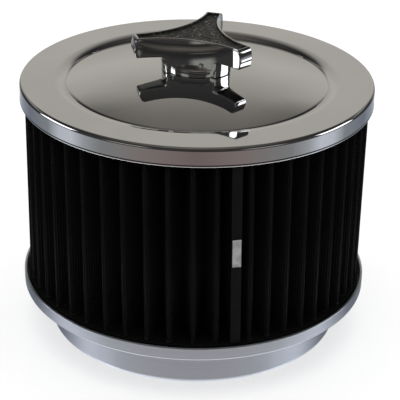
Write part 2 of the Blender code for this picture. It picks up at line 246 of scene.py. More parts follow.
class Nodes:
    """Short ways to make and link the nodes of one tree."""

    def __init__(self, tree):
        self.tree = tree

    def node(self, kind, inputs=None, **settings):
        """A new node with its settings and inputs; an input may be a value or an output."""
        made = self.tree.nodes.new(kind)
        for key, value in settings.items():
            setattr(made, key, value)
        for key, value in (inputs or {}).items():
            if isinstance(value, bpy.types.NodeSocket):
                self.tree.links.new(value, made.inputs[key])
            else:
                made.inputs[key].default_value = value
        return made

    def colour(self, value):
        """A colour with full alpha, or an output as it is."""
        return value if isinstance(value, bpy.types.NodeSocket) else (*value, 1.0)

    def math(self, operation, first, second=0.0):
        """One arithmetic step."""
        return self.node("ShaderNodeMath", {0: first, 1: second}, operation=operation).outputs[0]

    def ramp(self, factor, stops):
        """Colours blended along a factor from (position, colour) stops."""
        made = self.node("ShaderNodeValToRGB", {"Fac": factor})
        elements = made.color_ramp.elements
        elements[0].position, elements[0].color = stops[0][0], (*stops[0][1], 1.0)
        elements[1].position, elements[1].color = stops[-1][0], (*stops[-1][1], 1.0)
        for position, colour in stops[1:-1]:
            elements.new(position).color = (*colour, 1.0)
        return made.outputs["Color"]

    def spread(self, factor, low, high):
        """A factor moved from 0..1 to low..high."""
        return self.node(
            "ShaderNodeMapRange", {"Value": factor, "To Min": low, "To Max": high}
        ).outputs["Result"]

    def step(self, factor, start, end):
        """A smooth step of a factor, 0 before start and 1 after end."""
        return self.node(
            "ShaderNodeMapRange",
            {"Value": factor, "From Min": start, "From Max": end},
            interpolation_type="SMOOTHSTEP",
        ).outputs["Result"]

    def blend(self, factor, first, second):
        """Two colours mixed by a factor."""
        return self.node(
            "ShaderNodeMix",
            {0: factor, 6: self.colour(first), 7: self.colour(second)},
            data_type="RGBA",
        ).outputs[2]


class Shader(Nodes):
    """A node material with one Principled shader."""

    def __init__(self, name, **constants):
        self.material = bpy.data.materials.new(name)
        self.material.use_nodes = True
        super().__init__(self.material.node_tree)
        self.principled = self.tree.nodes["Principled BSDF"]
        for socket, value in constants.items():
            self.principled.inputs[socket.replace("_", " ")].default_value = value
        self.coordinates = self.tree.nodes.new("ShaderNodeTexCoord").outputs["Object"]

    def stretched(self, x, y, z):
        """Object coordinates scaled per axis."""
        return self.node(
            "ShaderNodeMapping", {"Vector": self.coordinates, "Scale": (x, y, z)}
        ).outputs["Vector"]

    def polar(self, around, radial, upward):
        """Coordinates (azimuth, radius, height), each scaled, so that a pattern follows the turning."""
        split = self.node("ShaderNodeSeparateXYZ", {"Vector": self.coordinates})
        angle = self.math("ARCTAN2", split.outputs["Y"], split.outputs["X"])
        flat = self.node(
            "ShaderNodeCombineXYZ", {"X": split.outputs["X"], "Y": split.outputs["Y"]}
        )
        radius = self.node("ShaderNodeVectorMath", {0: flat.outputs["Vector"]}, operation="LENGTH")
        joined = self.node(
            "ShaderNodeCombineXYZ",
            {"X": angle, "Y": radius.outputs["Value"], "Z": split.outputs["Z"]},
        )
        return self.node(
            "ShaderNodeMapping",
            {"Vector": joined.outputs["Vector"], "Scale": (around, radial, upward)},
        ).outputs["Vector"]

    def noise(self, vector, scale, detail=3.0, roughness=0.5):
        """Noise between about 0 and 1."""
        return self.node(
            "ShaderNodeTexNoise",
            {"Vector": vector, "Scale": scale, "Detail": detail, "Roughness": roughness},
        ).outputs["Fac"]

    def bump(self, height, distance, strength=1.0, under=None):
        """A bump of a height pattern, in metres, on top of another bump if one is given."""
        inputs = {"Height": height, "Distance": distance, "Strength": strength}
        if under is not None:
            inputs["Normal"] = under
        return self.node("ShaderNodeBump", inputs).outputs["Normal"]

    def set(self, socket, output):
        """Feed one of the shader's sockets."""
        self.tree.links.new(output, self.principled.inputs[socket])


def polished_chrome(name, waviness, painted_shade_below=(0.78, 0.78, 0.77)):
    """Mirror chrome with faint waviness and smudges; faces that look down may be given a darker colour,
    painted shade.
    """
    shader = Shader(name, Metallic=1.0)
    smudge = shader.noise(shader.coordinates, 35.0, 5.0)
    bright = shader.ramp(smudge, [(0.35, (0.76, 0.76, 0.75)), (0.65, (0.80, 0.80, 0.79))])
    normal = shader.node("ShaderNodeTexCoord").outputs["Normal"]
    upward = shader.node("ShaderNodeSeparateXYZ", {"Vector": normal}).outputs["Z"]
    # Faces that look down take the colour given for below: painted shade where it is dark.
    looks_down = shader.step(upward, -0.75, -0.95)
    shader.set("Base Color", shader.blend(looks_down, bright, painted_shade_below))
    shader.set("Roughness", shader.spread(smudge, 0.015, 0.055))
    wave = shader.noise(shader.coordinates, 45.0, 1.0)
    shader.set("Normal", shader.bump(wave, waviness, 0.35))
    return shader.material


def turned_aluminium():
    """Satin aluminium with fine marks that run around the axis."""
    shader = Shader("turned_aluminium", Metallic=1.0, Anisotropic=0.93, Anisotropic_Rotation=0.25)
    tangent = shader.node("ShaderNodeTangent", direction_type="RADIAL", axis="Z")
    shader.set("Tangent", tangent.outputs["Tangent"])
    marks = shader.noise(shader.polar(0.35, 5200.0, 5200.0), 1.0, 4.0, 0.7)
    patches = shader.noise(shader.coordinates, 40.0, 3.0)
    shader.set(
        "Base Color",
        shader.ramp(marks, [(0.3, (0.59, 0.62, 0.67)), (0.7, (0.76, 0.785, 0.83))]),
    )
    shader.set("Roughness", shader.spread(patches, 0.28, 0.38))
    shader.set("Normal", shader.bump(marks, 0.00002, 0.6))
    return shader.material


def black_wire():
    """Black coated wire, duller in places; its cut lower ends show uncoated steel, lighter, and partly a
    painted glint.
    """
    shader = Shader("black_wire_cloth", Specular_IOR_Level=0.14)
    wear = shader.noise(shader.coordinates, 180.0, 4.0)
    height = shader.node("ShaderNodeSeparateXYZ", {"Vector": shader.coordinates}).outputs["Z"]
    foot = bottom("outer_wire_mesh") * MM
    at_end = shader.step(height, foot + 0.0008, foot + 0.0005)
    patchy = shader.step(shader.noise(shader.coordinates, 420.0, 2.0), 0.42, 0.60)
    coat = shader.ramp(wear, [(0.35, (0.0016, 0.0016, 0.0017)), (0.75, (0.0040, 0.0040, 0.0042))])
    # Lighter grey at the cut lower ends: uncoated steel, and partly a painted glint.
    cut_end_and_glint = shader.math("MULTIPLY", at_end, patchy)
    shader.set("Base Color", shader.blend(cut_end_and_glint, coat, (0.09, 0.09, 0.085)))
    shader.set("Roughness", shader.spread(wear, 0.38, 0.6))
    return shader.material


def cotton_gauze():
    """Black oiled cotton with a crossed weave."""
    shader = Shader("oiled_cotton", Specular_IOR_Level=0.12, Sheen_Weight=0.05, Sheen_Roughness=0.4)
    upright = shader.node(
        "ShaderNodeTexWave",
        {"Vector": shader.polar(1.0, 0.0, 0.0), "Scale": 26.0, "Distortion": 0.6, "Detail": 1.0},
        bands_direction="X",
    ).outputs["Fac"]
    level = shader.node(
        "ShaderNodeTexWave",
        {"Vector": shader.stretched(0.0, 0.0, 1.0), "Scale": 380.0, "Distortion": 0.6, "Detail": 1.0},
        bands_direction="Z",
    ).outputs["Fac"]
    weave = shader.math("MULTIPLY", upright, level)
    fluff = shader.noise(shader.coordinates, 900.0, 4.0)
    shader.set(
        "Base Color",
        shader.ramp(fluff, [(0.3, (0.0035, 0.0035, 0.0036)), (0.75, (0.0080, 0.0080, 0.0083))]),
    )
    shader.set("Roughness", shader.spread(fluff, 0.8, 0.98))
    woven = shader.bump(weave, 0.0002, 0.5)
    shader.set("Normal", shader.bump(fluff, 0.00015, 0.4, woven))
    return shader.material


def moulded_black(name, colour, roughness, grain_scale, specular=0.3):
    """Moulded rubber or plastic: fine grain, faint mottling."""
    shader = Shader(name, Specular_IOR_Level=specular)
    mottle = shader.noise(shader.coordinates, 60.0, 4.0)
    lighter = tuple(1.6 * c for c in colour)
    shader.set("Base Color", shader.ramp(mottle, [(0.35, colour), (0.7, lighter)]))
    shader.set("Roughness", shader.spread(mottle, roughness - 0.07, roughness + 0.07))
    grain = shader.noise(shader.coordinates, grain_scale, 2.0)
    shader.set("Normal", shader.bump(grain, 0.00006, 0.35))
    return shader.material


def fibre_gasket():
    """Grey pressed-fibre sheet with specks."""
    shader = Shader("grey_gasket", Specular_IOR_Level=0.2)
    speck = shader.noise(shader.coordinates, 1500.0, 3.0)
    tones = [(0.3, (0.06, 0.06, 0.056)), (0.62, (0.12, 0.12, 0.11)), (0.72, (0.2, 0.2, 0.18))]
    shader.set("Base Color", shader.ramp(speck, tones))
    shader.set("Roughness", shader.spread(speck, 0.75, 0.95))
    shader.set("Normal", shader.bump(speck, 0.00008, 0.5))
    return shader.material


def plated_steel():
    """Zinc-plated steel with uneven sheen."""
    shader = Shader("plated_steel", Metallic=1.0)
    bloom = shader.noise(shader.coordinates, 160.0, 5.0)
    shader.set("Base Color", shader.ramp(bloom, [(0.3, (0.50, 0.49, 0.45)), (0.7, (0.68, 0.67, 0.64))]))
    shader.set("Roughness", shader.spread(bloom, 0.22, 0.42))
    shader.set("Normal", shader.bump(bloom, 0.00003, 0.3))
    return shader.material


def turned_brass():
    """Machined brass with faint turning marks."""
    shader = Shader("turned_brass", Metallic=1.0)
    marks = shader.noise(shader.polar(0.4, 4000.0, 4000.0), 1.0, 3.0)
    shader.set("Base Color", shader.ramp(marks, [(0.3, (0.62, 0.45, 0.20)), (0.7, (0.78, 0.60, 0.30))]))
    shader.set("Roughness", shader.spread(marks, 0.22, 0.38))
    shader.set("Normal", shader.bump(marks, 0.00002, 0.5))
    return shader.material


def black_wrinkle():
    """Black wrinkle paint: small rounded ridges, some with pale crests, partly worn paint and partly
    painted glints.
    """
    shader = Shader("black_wrinkle", Specular_IOR_Level=0.2)
    ridges = shader.node(
        "ShaderNodeTexVoronoi",
        {"Vector": shader.coordinates, "Scale": 900.0, "Randomness": 1.0},
        feature="SMOOTH_F1",
    ).outputs["Distance"]
    folds = shader.noise(shader.coordinates, 700.0, 4.0, 0.6)
    crest = shader.step(shader.noise(shader.coordinates, 800.0, 2.0, 0.6), 0.58, 0.70)
    coat = shader.ramp(folds, [(0.4, (0.010, 0.010, 0.009)), (0.75, (0.045, 0.044, 0.040))])
    # Pale flecks by noise: worn paint, and partly painted glints.
    shader.set("Base Color", shader.blend(crest, coat, (0.17, 0.168, 0.155)))
    shader.set("Roughness", shader.spread(folds, 0.32, 0.55))
    first = shader.bump(ridges, 0.0005, 0.9)
    shader.set("Normal", shader.bump(folds, 0.0005, 0.8, first))
    return shader.material


def pale_patch():
    """Blank pale grey patch, slightly worn."""
    shader = Shader("blank_label", Specular_IOR_Level=0.3)
    wear = shader.noise(shader.coordinates, 420.0, 5.0)
    shader.set("Base Color", shader.ramp(wear, [(0.35, (0.25, 0.25, 0.25)), (0.65, (0.38, 0.375, 0.37))]))
    shader.set("Roughness", shader.spread(wear, 0.45, 0.65))
    shader.set("Normal", shader.bump(wear, 0.00003, 0.3))
    return shader.material


# ---------------------------------------------------------------- base

def make_base_tray(material):
    """Tray: flat floor, upright lip with a rounded top edge and a chamfer below."""
    outer = reach("base_tray")
    low = bottom("base_tray")
    high = top("base_tray")
    floor_top = low + TRAY_SHEET
    corners = [
        (TRAY_HOLE_R, low, 0.2),
        (outer - 0.9, low, 0.15),
        (outer, low + 0.8, 0.25),
        (outer, high, 0.3),
        (outer - LIP_SHEET, high, 0.7),
        (outer - LIP_SHEET, floor_top, 0.5),
        (TRAY_HOLE_R, floor_top, 0.2),
    ]
    tray = turned("base_tray_turned", filleted(corners))
    dress(tray, "base", "turned_aluminium", material, "base_tray")


def make_neck_collar(material):
    """Neck ring with its rounded rim, inner ledge and the spigot through the tray."""
    outer = reach("neck_collar")
    shoulder = bottom("base_tray") - 0.3
    spigot_top = top("neck_collar")
    corners = [
        (outer, shoulder, 0.3),
        (outer, 0.0, 2.2),
        (NECK_BORE_R, 0.0, 0.7),
        (NECK_BORE_R, LEDGE_LOW, 0.3),
        (LEDGE_R, LEDGE_LOW, 0.4),
        (LEDGE_R, LEDGE_HIGH, 0.6),
        (LEDGE_R + 2.2, 19.0, 0.8),
        (SPIGOT_R - 1.6, spigot_top, 0.5),
        (SPIGOT_R, spigot_top, 0.5),
        (SPIGOT_R, shoulder, 0.2),
    ]
    collar = turned("neck_collar_turned", filleted(corners))
    dress(collar, "base", "turned_aluminium", material, "neck_collar")


def make_neck_gasket(material):
    """Flat fibre ring under the collar's ledge."""
    outer = reach("neck_gasket")
    low = bottom("neck_gasket")
    high = top("neck_gasket")
    inner = LEDGE_R + 0.8
    corners = [(outer, high, 0.25), (outer, low, 0.25), (inner, low, 0.25), (inner, high, 0.25)]
    gasket = turned("neck_gasket_ring", filleted(corners, steps=3), 128)
    dress(gasket, "base", "grey_gasket", material, "neck_gasket")


def make_centre_stud(material):
    """Threaded rod: rows of points climb with the helix between root and crest."""
    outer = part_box("centre_stud")[1].x / MM
    low = bottom("centre_stud")
    high = top("centre_stud")
    root = outer - THREAD_DEPTH
    end_r = root - 0.1
    segments = 24
    flank = root + 0.7 * THREAD_DEPTH
    row_radii = (root, flank, outer, flank)
    rows = int((high - low) / THREAD_PITCH * len(row_radii)) + 2 * len(row_radii)
    start = low - THREAD_PITCH
    end_taper = 0.9
    rings = []
    for row in range(rows):
        ring = []
        for i in range(segments):
            turn = i / segments
            z = start + THREAD_PITCH * (row / len(row_radii) + turn)
            level = min(max(z, low), high)
            to_end = min(level - low, high - level)
            limit = end_r + (outer - end_r) * min(to_end / end_taper, 1.0)
            r = min(row_radii[row % len(row_radii)], limit)
            angle = 2.0 * math.pi * turn
            ring.append((r * math.cos(angle), r * math.sin(angle), level))
        rings.append(ring)
    stud = helical_loft("centre_stud_threaded", rings, len(row_radii))
    dress(stud, "base", "plated_steel", material, "centre_stud")


def helical_loft(name, rings, rows_per_turn):
    """Surface through rows that start one turn higher than they end."""
    count = len(rings[0])
    verts = [point for ring in rings for point in ring]
    faces = []
    for row in range(len(rings) - rows_per_turn - 1):
        for i in range(count):
            if i < count - 1:
                corner = (row * count + i, row * count + i + 1)
                above = ((row + 1) * count + i + 1, (row + 1) * count + i)
            else:
                wrapped = row + rows_per_turn
                corner = (row * count + i, wrapped * count)
                above = ((wrapped + 1) * count, (row + 1) * count + i)
            faces.append(corner + above)
    builder = bmesh.new()
    made = [builder.verts.new((x * MM, y * MM, z * MM)) for x, y, z in verts]
    for face in faces:
        builder.faces.new([made[i] for i in face])
    bmesh.ops.remove_doubles(builder, verts=builder.verts, dist=0.00001)
    bmesh.ops.dissolve_degenerate(builder, edges=builder.edges, dist=0.00001)
    bmesh.ops.delete(builder, geom=[v for v in builder.verts if not v.link_faces], context="VERTS")
    bmesh.ops.holes_fill(builder, edges=[e for e in builder.edges if e.is_boundary], sides=0)
    bmesh.ops.recalc_face_normals(builder, faces=builder.faces)
    mesh = bpy.data.meshes.new(name)
    builder.to_mesh(mesh)
    builder.free()
    mesh.shade_smooth()
    mesh.set_sharp_from_angle(angle=math.radians(50.0))
    obj = bpy.data.objects.new(name, mesh)
    bpy.context.scene.collection.objects.link(obj)
    return obj


# ---------------------------------------------------------------- element

def pleat_azimuths():
    """Azimuth of each pleat's tip, from the seam around the pack and back to it."""
    rng = random.Random(11)
    between = PLEATS - 2
    mean = (2.0 * math.pi - FIRST_PITCH - LAST_PITCH) / between
    azimuths = [SEAM_AZIMUTH, SEAM_AZIMUTH + FIRST_PITCH]
    for i in range(between):
        drift = PITCH_DRIFT * (2.0 * (i + 0.5) / between - 1.0)
        azimuths.append(azimuths[-1] + mean * (1.0 + drift))
    steady = azimuths[:2]
    return steady + [a + rng.uniform(-PLEAT_JITTER, PLEAT_JITTER) for a in azimuths[2:]]


def pleat_path(depth, fold_steps):
    """Closed pleat line, depth below the pack's outer face, as (x, y, normal x, normal y) rows.

    Tip folds and valley folds are arcs about fixed centres, joined by straight flanks.
    """
    tip_centre_r = reach("outer_wire_mesh") - PLEAT_TURN_R
    valley_centre_r = bore("inner_wire_mesh") + PLEAT_TURN_R
    tip_fold = PLEAT_TURN_R - depth
    valley_fold = PLEAT_TURN_R - PLEAT_STACK + depth
    tips = pleat_azimuths()
    gaps = [(tips[(i + 1) % PLEATS] - tips[i]) % (2.0 * math.pi) for i in range(PLEATS)]
    rows = []

    def fold(centre_r, azimuth, radius, start, end):
        for k in range(fold_steps + 1):
            facing = azimuth + start + (end - start) * k / fold_steps
            normal = (math.cos(facing), math.sin(facing))
            x = centre_r * math.cos(azimuth) + radius * normal[0]
            y = centre_r * math.sin(azimuth) + radius * normal[1]
            rows.append((x, y, *normal))

    def sweep(gap):
        """How far a tip's normal turns before the flank across half a gap begins."""
        across = valley_centre_r * math.sin(gap / 2.0)
        along = tip_centre_r - valley_centre_r * math.cos(gap / 2.0)
        leaning = math.atan2(across, along)
        leaning -= math.asin((tip_fold + valley_fold) / math.hypot(across, along))
        return math.pi / 2.0 - leaning

    for i in range(PLEATS):
        before = sweep(gaps[i - 1])
        beyond = sweep(gaps[i])
        valley_half = beyond - gaps[i] / 2.0
        fold(tip_centre_r, tips[i], tip_fold, -before, beyond)
        fold(valley_centre_r, tips[i] + gaps[i] / 2.0, -valley_fold, valley_half, -valley_half)
    return np.array(rows)


def twisted(points):
    """Points of the pack turned by its slight twist, as far as their height asks."""
    x, y, z = np.array(points, float).T
    low = bottom("outer_wire_mesh")
    high = top("outer_wire_mesh")
    turn = PACK_TWIST * (0.5 - (z - low) / (high - low))
    return np.stack([x * np.cos(turn) - y * np.sin(turn), x * np.sin(turn) + y * np.cos(turn), z], 1)


def make_media(material):
    """The folded cotton wall, one closed solid, with its ends potted in the seals."""
    low = bottom("pleated_media") - POTTED
    high = top("pleated_media") + POTTED
    outer = pleat_path(MEDIA_DEPTH, 6)
    inner = pleat_path(MEDIA_DEPTH + MEDIA_THICKNESS, 6)
    loops = [(outer, low), (outer, high), (inner, high), (inner, low)]
    count = len(outer)
    verts = [(row[0], row[1], z) for path, z in loops for row in path]
    faces = []
    for level in range(4):
        here = level * count
        beyond = ((level + 1) % 4) * count
        for k in range(count):
            after = (k + 1) % count
            faces.append((here + k, here + after, beyond + after, beyond + k))
    media = mesh_object("pleated_media_folded", twisted(verts), faces)
    dress(media, "element", "oiled_cotton", material, "pleated_media")


def wire_ring_mesh(name, path, heights):
    """Level wires: one loop of three-sided section along the pleat line at each height."""
    count = len(path)
    ring = np.zeros((count, 3, 3))
    for k in range(3):
        angle = 2.0 * math.pi * k / 3.0
        ring[:, k, :2] = path[:, :2] + path[:, 2:] * WIRE_R * math.cos(angle)
        ring[:, k, 2] = WIRE_R * math.sin(angle)
    ring = ring.reshape(-1, 3)
    verts = twisted(np.concatenate([ring + (0.0, 0.0, z) for z in heights]))
    step = np.arange(count)
    after = (step + 1) % count
    faces = []
    for k in range(3):
        turn = (k + 1) % 3
        faces.append(np.stack([step * 3 + k, after * 3 + k, after * 3 + turn, step * 3 + turn], 1))
    ring_faces = np.concatenate(faces)
    all_faces = np.concatenate([ring_faces + i * count * 3 for i in range(len(heights))])
    return fast_mesh(name, verts, all_faces)


def wire_post_mesh(name, path, low, high):
    """Upright wires at an even pitch along the pleat line."""
    xy = np.concatenate([path[:, :2], path[:1, :2]])
    length = np.concatenate([[0.0], np.cumsum(np.hypot(*np.diff(xy, axis=0).T))])
    count = int(length[-1] / WARP_PITCH)
    along = np.arange(count) * length[-1] / count
    centre = np.stack([np.interp(along, length, xy[:, 0]), np.interp(along, length, xy[:, 1])], 1)
    offsets = np.array([(WIRE_R, 0.0), (0.0, WIRE_R), (-WIRE_R, 0.0), (0.0, -WIRE_R)])
    verts = np.zeros((count, 2, 4, 3))
    verts[..., :2] = centre[:, None, None, :] + offsets[None, None, :, :]
    verts[:, 0, :, 2] = low
    verts[:, 1, :, 2] = high
    sides = [(k, (k + 1) % 4, (k + 1) % 4 + 4, k + 4) for k in range(4)]
    caps = [(3, 2, 1, 0), (4, 5, 6, 7)]
    one = np.array(sides + caps)
    faces = np.concatenate([one + 8 * i for i in range(count)])
    return fast_mesh(name, twisted(verts.reshape(-1, 3)), faces)


def fast_mesh(name, verts, faces):
    """A smooth-shaded object from number arrays, for meshes of many wires."""
    mesh = bpy.data.meshes.new(name)
    mesh.from_pydata((verts * MM).tolist(), [], faces.tolist())
    mesh.shade_smooth()
    obj = bpy.data.objects.new(name, mesh)
    bpy.context.scene.collection.objects.link(obj)
    return obj


def make_wire_cloth(layer, node, depth, weft_pitch, material):
    """Woven wire along one face of the pleats: level wires and upright wires."""
    low = bottom(node)
    high = top(node)
    rows = int((high - low) / weft_pitch)
    heights = [low + (i + 0.5) * (high - low) / rows for i in range(rows)]
    path = pleat_path(depth, 3)
    weft = wire_ring_mesh(f"{layer}_level_wires", path, heights)
    dress(weft, "element", "black_wire_cloth", material, node)
    warp = wire_post_mesh(f"{layer}_upright_wires", path, low, high)
    dress(warp, "element", "black_wire_cloth", material, node)


def make_end_seals(material):
    """The two moulded rings that the pleats' ends are potted in."""
    inner = 66.2
    for node, name in (("bottom_end_seal", "bottom_seal_ring"), ("top_end_seal", "top_seal_ring")):
        outer = reach(node)
        low = bottom(node)
        high = top(node)
        corners = [(outer, low, 0.8), (outer, high, 0.8), (inner, high, 0.8), (inner, low, 0.8)]
        ring = turned(name, filleted(corners))
        dress(ring, "element", "moulded_seal", material, node)


def plate(name, node, bevel, width, crown=0.0):
    """A rounded upright plate of its own width, in the place of a thin CAD plate at the seam."""
    low = bottom(node)
    high = top(node)
    corners = [Vector((v.co.x, v.co.y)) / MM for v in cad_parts[node].data.vertices]
    outward = Vector((math.cos(SEAM_AZIMUTH), math.sin(SEAM_AZIMUTH)))
    across = Vector((-outward.y, outward.x))
    near = min(c.dot(outward) for c in corners)
    far = max(c.dot(outward) for c in corners)
    half = width / 2.0
    columns = 8
    section = []
    for k in range(columns + 1):
        s = 2.0 * k / columns - 1.0
        section.append((s * half, far - crown * s * s))
    outline = [(-half, near), *section, (half, near)]
    rings = []
    for z, inset in ((low, bevel), (low + bevel, 0.0), (high - bevel, 0.0), (high, bevel)):
        ring = []
        for s, r in outline:
            s_in = s * (1.0 - inset / half)
            r_in = max(near, r - inset) if r > near else near
            point = outward * r_in + across * s_in
            ring.append((point.x, point.y, z))
        rings.append(twisted(ring))
    return loft(name, rings, 40.0)


def make_seam(strip_material, label_material):
    """The strip over the pack's joint, and its blank patch."""
    strip = plate("seam_strip_pressed", "seam_strip", 0.12, STRIP_WIDTH, 0.18)
    dress(strip, "element", "black_strip", strip_material, "seam_strip")
    label = plate("seam_patch", "seam_label", 0.05, LABEL_WIDTH)
    dress(label, "element", "blank_label", label_material, "seam_label")


# ---------------------------------------------------------------- lid

def dome_height(radius):
    """Height of the lid's domed centre at a radius."""
    return LID_APEX - (LID_APEX - DOME_FOOT_Z) * (radius / DOME_FOOT_R) ** 2


def roll_points(radius):
    """Profile of the roll between flat band and dome, from the band to the dome.

    The radius is ROLL_R on the lid's outside and a sheet's thickness less on its inside.
    """
    points = []
    steps = 12
    for i in range(steps + 1):
        angle = ROLL_SWEEP * i / steps
        drop = ROLL_R - radius * math.cos(angle)
        points.append((ROLL_START_R - radius * math.sin(angle), LID_RIM - drop, 0.0))
    return points


def make_lid(material):
    """Pressed lid: hemmed skirt, rounded corner, flat band, roll and dome, 0.8 mm thick."""
    outer = reach("lid")
    low = bottom("lid")
    inner_rim = LID_RIM - LID_SHEET
    wall = outer - HEM_STANDS_OUT
    dome_steps = 40
    dome_width = DOME_FOOT_R - STUD_HOLE_R
    dome_radii = [DOME_FOOT_R - dome_width * i / dome_steps for i in range(dome_steps + 1)]
    beyond_crease = DOME_FOOT_R - 0.6
    outside = [
        (outer - 0.35, low, 0.12),
        (outer, low + 0.35, 0.3),
        (outer, low + 0.75, 0.3),
        (wall, low + HEM_HEIGHT, 0.15),
        (wall, LID_RIM, LID_CORNER_R),
        (ROLL_START_R + 0.1, LID_RIM, 0.0),
        *roll_points(ROLL_R)[:-1],
        (DOME_FOOT_R + 0.12, DOME_FOOT_Z, 0.0),
        (DOME_FOOT_R, DOME_FOOT_Z - CREASE_DEPTH, 0.08),
        (beyond_crease, dome_height(beyond_crease), 0.0),
        *[(r, dome_height(r), 0.0) for r in dome_radii[1:]],
    ]
    inside = [
        *[(r, dome_height(r) - LID_SHEET, 0.0) for r in reversed(dome_radii)],
        *reversed(roll_points(ROLL_R - LID_SHEET)),
        (ROLL_START_R + 0.1, inner_rim, 0.0),
        (outer - LID_SHEET, inner_rim, 0.9),
        (outer - LID_SHEET, low, 0.2),
    ]
    lid = turned("lid_pressed", filleted(outside + inside, steps=8), 384)
    dress(lid, "lid", "polished_chrome", material, "lid")


# ---------------------------------------------------------------- knob

def scallop_radius():
    """Radius of the concave side between two neighbouring arm tips."""
    corner_r = math.hypot(TIP_R, TIP_HALF_WIDTH)
    spread = math.radians(60.0) - math.atan2(TIP_HALF_WIDTH, TIP_R)
    along = corner_r * math.cos(spread) - SCALLOP_NEAR_R
    across = corner_r * math.sin(spread)
    return (along ** 2 + across ** 2) / (2.0 * along)


def knob_outline(inset, corner_fillet, scallop_steps=48):
    """Top view of the knob moved inward by inset, as (x, y) points with rounded tip corners."""
    radius = scallop_radius() + inset
    centre_distance = SCALLOP_NEAR_R + scallop_radius()
    tip_r = TIP_R - inset
    tip_half = TIP_HALF_WIDTH - inset
    spread = math.radians(60.0) - math.atan2(tip_half, tip_r)
    half_sweep = math.asin(math.hypot(tip_r, tip_half) * math.sin(spread) / radius)
    corners = []
    for arm in ARM_AZIMUTHS:
        corners.append((tip_r * math.cos(arm), tip_r * math.sin(arm), 0.0))
        middle = arm + math.radians(60.0)
        for i in range(scallop_steps + 1):
            sweep = half_sweep * (2.0 * i / scallop_steps - 1.0)
            along = centre_distance - radius * math.cos(sweep)
            across = radius * math.sin(sweep)
            x = along * math.cos(middle) - across * math.sin(middle)
            y = along * math.sin(middle) + across * math.cos(middle)
            at_tip = i in (0, scallop_steps)
            corners.append((x, y, corner_fillet if at_tip else 0.0))
    return filleted(corners, steps=4, hold=0.0)


def knob_ring(outline, z, limit=None, at_least=0.0, tip_growth=0.0):
    """An outline at a height, held between two radii; the tips may stand further out.

    The height is a number, or a function of the radius.
    """
    ring = []
    for x, y in outline:
        radius = math.hypot(x, y)
        grown = radius + tip_growth * min(max(radius - TIP_R + 1.2, 0.0), 1.0)
        if limit is not None:
            grown = min(grown, limit)
        grown = max(grown, at_least)
        height = z(grown) if callable(z) else z
        ring.append((x * grown / radius, y * grown / radius, height))
    return ring


def eased_at_hub(outline, plain):
    """An inset outline that returns to the plain one near the hub, so the hub's sides run on."""
    ring = []
    for (x, y), (plain_x, plain_y) in zip(outline, plain):
        share = min(max((math.hypot(plain_x, plain_y) - LOBE_R + 0.5) / 2.0, 0.0), 1.0)
        share = share * share * (3.0 - 2.0 * share)
        ring.append((plain_x + (x - plain_x) * share, plain_y + (y - plain_y) * share))
    return ring


def tip_bulge(z):
    """How far an arm's end face stands out at a height: fullest below the middle, eased at the top."""
    above = z - TIP_FULLEST
    if above < 0.0:
        return TIP_BULGE - 0.055 * above ** 2
    return min(TIP_BULGE - 0.030 * above ** 2, 0.9 * (TIP_EASED - z))


def make_knob_body(material):
    """Cast knob: bore and pocket below, lobed hub, three arms, recessed top with a thin rim."""
    high = top("knob_body")
    side = knob_outline(0.0, 0.5)
    rings = []

    def circle(radius, z):
        rings.append(knob_ring(side, z, radius, radius))

    def seat(radius):
        return dome_height(radius) + SEAT_GAP

    circle(BORE_R, BORE_TOP)
    circle(BORE_R, POCKET_TOP)
    circle(POCKET_R, POCKET_TOP)
    circle(POCKET_R, bottom("knob_body"))
    for z, limit, least in (
        (seat, LOBE_R - 0.9, FOOT_R - 0.35),
        (lambda r: seat(r) + 0.3, LOBE_R - 0.6, FOOT_R),
        (131.3, LOBE_R - 0.35, FOOT_R),
        (131.8, LOBE_R - 0.3, FOOT_R - 0.1),
        (132.05, LOBE_R - 0.25, FOOT_R - 0.45),
        (132.4, LOBE_R - 0.2, FOOT_R - 1.6),
        (132.7, LOBE_R - 0.15, FOOT_R - 2.85),
        (133.0, LOBE_R - 0.1, 0.0),
        (135.0, LOBE_R, 0.0),
        (135.5, LOBE_R + 0.15, 0.0),
        (135.85, LOBE_R + 0.5, 0.0),
        (ARM_LOW, LOBE_R + 1.0, 0.0),
    ):
        rings.append(knob_ring(side, z, limit, least))
    for z, inset in ((ARM_LOW, 0.7), (ARM_LOW + 0.12, 0.35), (ARM_LOW + 0.5, 0.05)):
        outline = eased_at_hub(knob_outline(inset, 0.3), side)
        rings.append(knob_ring(outline, z, tip_growth=tip_bulge(z)))
    for rise in (1.2, 2.0, 3.0, 4.0, 5.0, 6.0, 7.0, 7.8, 8.4, 8.8, 9.2):
        rings.append(knob_ring(side, ARM_LOW + rise, tip_growth=tip_bulge(ARM_LOW + rise)))
    for z, inset in (
        (high - 0.10, 0.08),
        (high, 0.28),
        (high, RIM_WIDTH - 0.2),
        (high - 0.12, RIM_WIDTH - 0.04),
        (high - 0.3, RIM_WIDTH),
        (high - RECESS_DEPTH, RIM_WIDTH),
    ):
        outline = knob_outline(inset, max(0.5 - 0.5 * inset, 0.1))
        rings.append(knob_ring(outline, z))
    body = loft("knob_cast", rings, 32.0)
    dress(body, "knob", "polished_chrome", material, "knob_body")


def make_knob_inlay(material):
    """Wrinkled plate in the recess, with a thin edge that lines the recess's wall."""
    low = bottom("knob_inlay")
    high = top("knob_inlay")
    lining_top = top("knob_body") - 0.25
    outline = knob_outline(RIM_WIDTH + 0.18, 0.3, 60)
    lining = knob_outline(RIM_WIDTH + 0.04, 0.3, 60)
    steps = 44
    rings = [knob_ring(lining, low), knob_ring(lining, lining_top), knob_ring(outline, lining_top)]
    for i in range(steps):
        scale = 1.0 - i / steps
        ring = []
        for x, y in outline:
            point = Vector((x * scale, y * scale, 0.0))
            ripple = noise.fractal(point * 1.15, 0.7, 2.2, 3)
            ring.append((point.x, point.y, high + 0.10 * ripple * min(4.0 * i / steps, 1.0)))
        rings.append(ring)
    inlay = loft("knob_wrinkle_inlay", rings, 60.0)
    dress(inlay, "knob", "black_wrinkle", material, "knob_inlay")


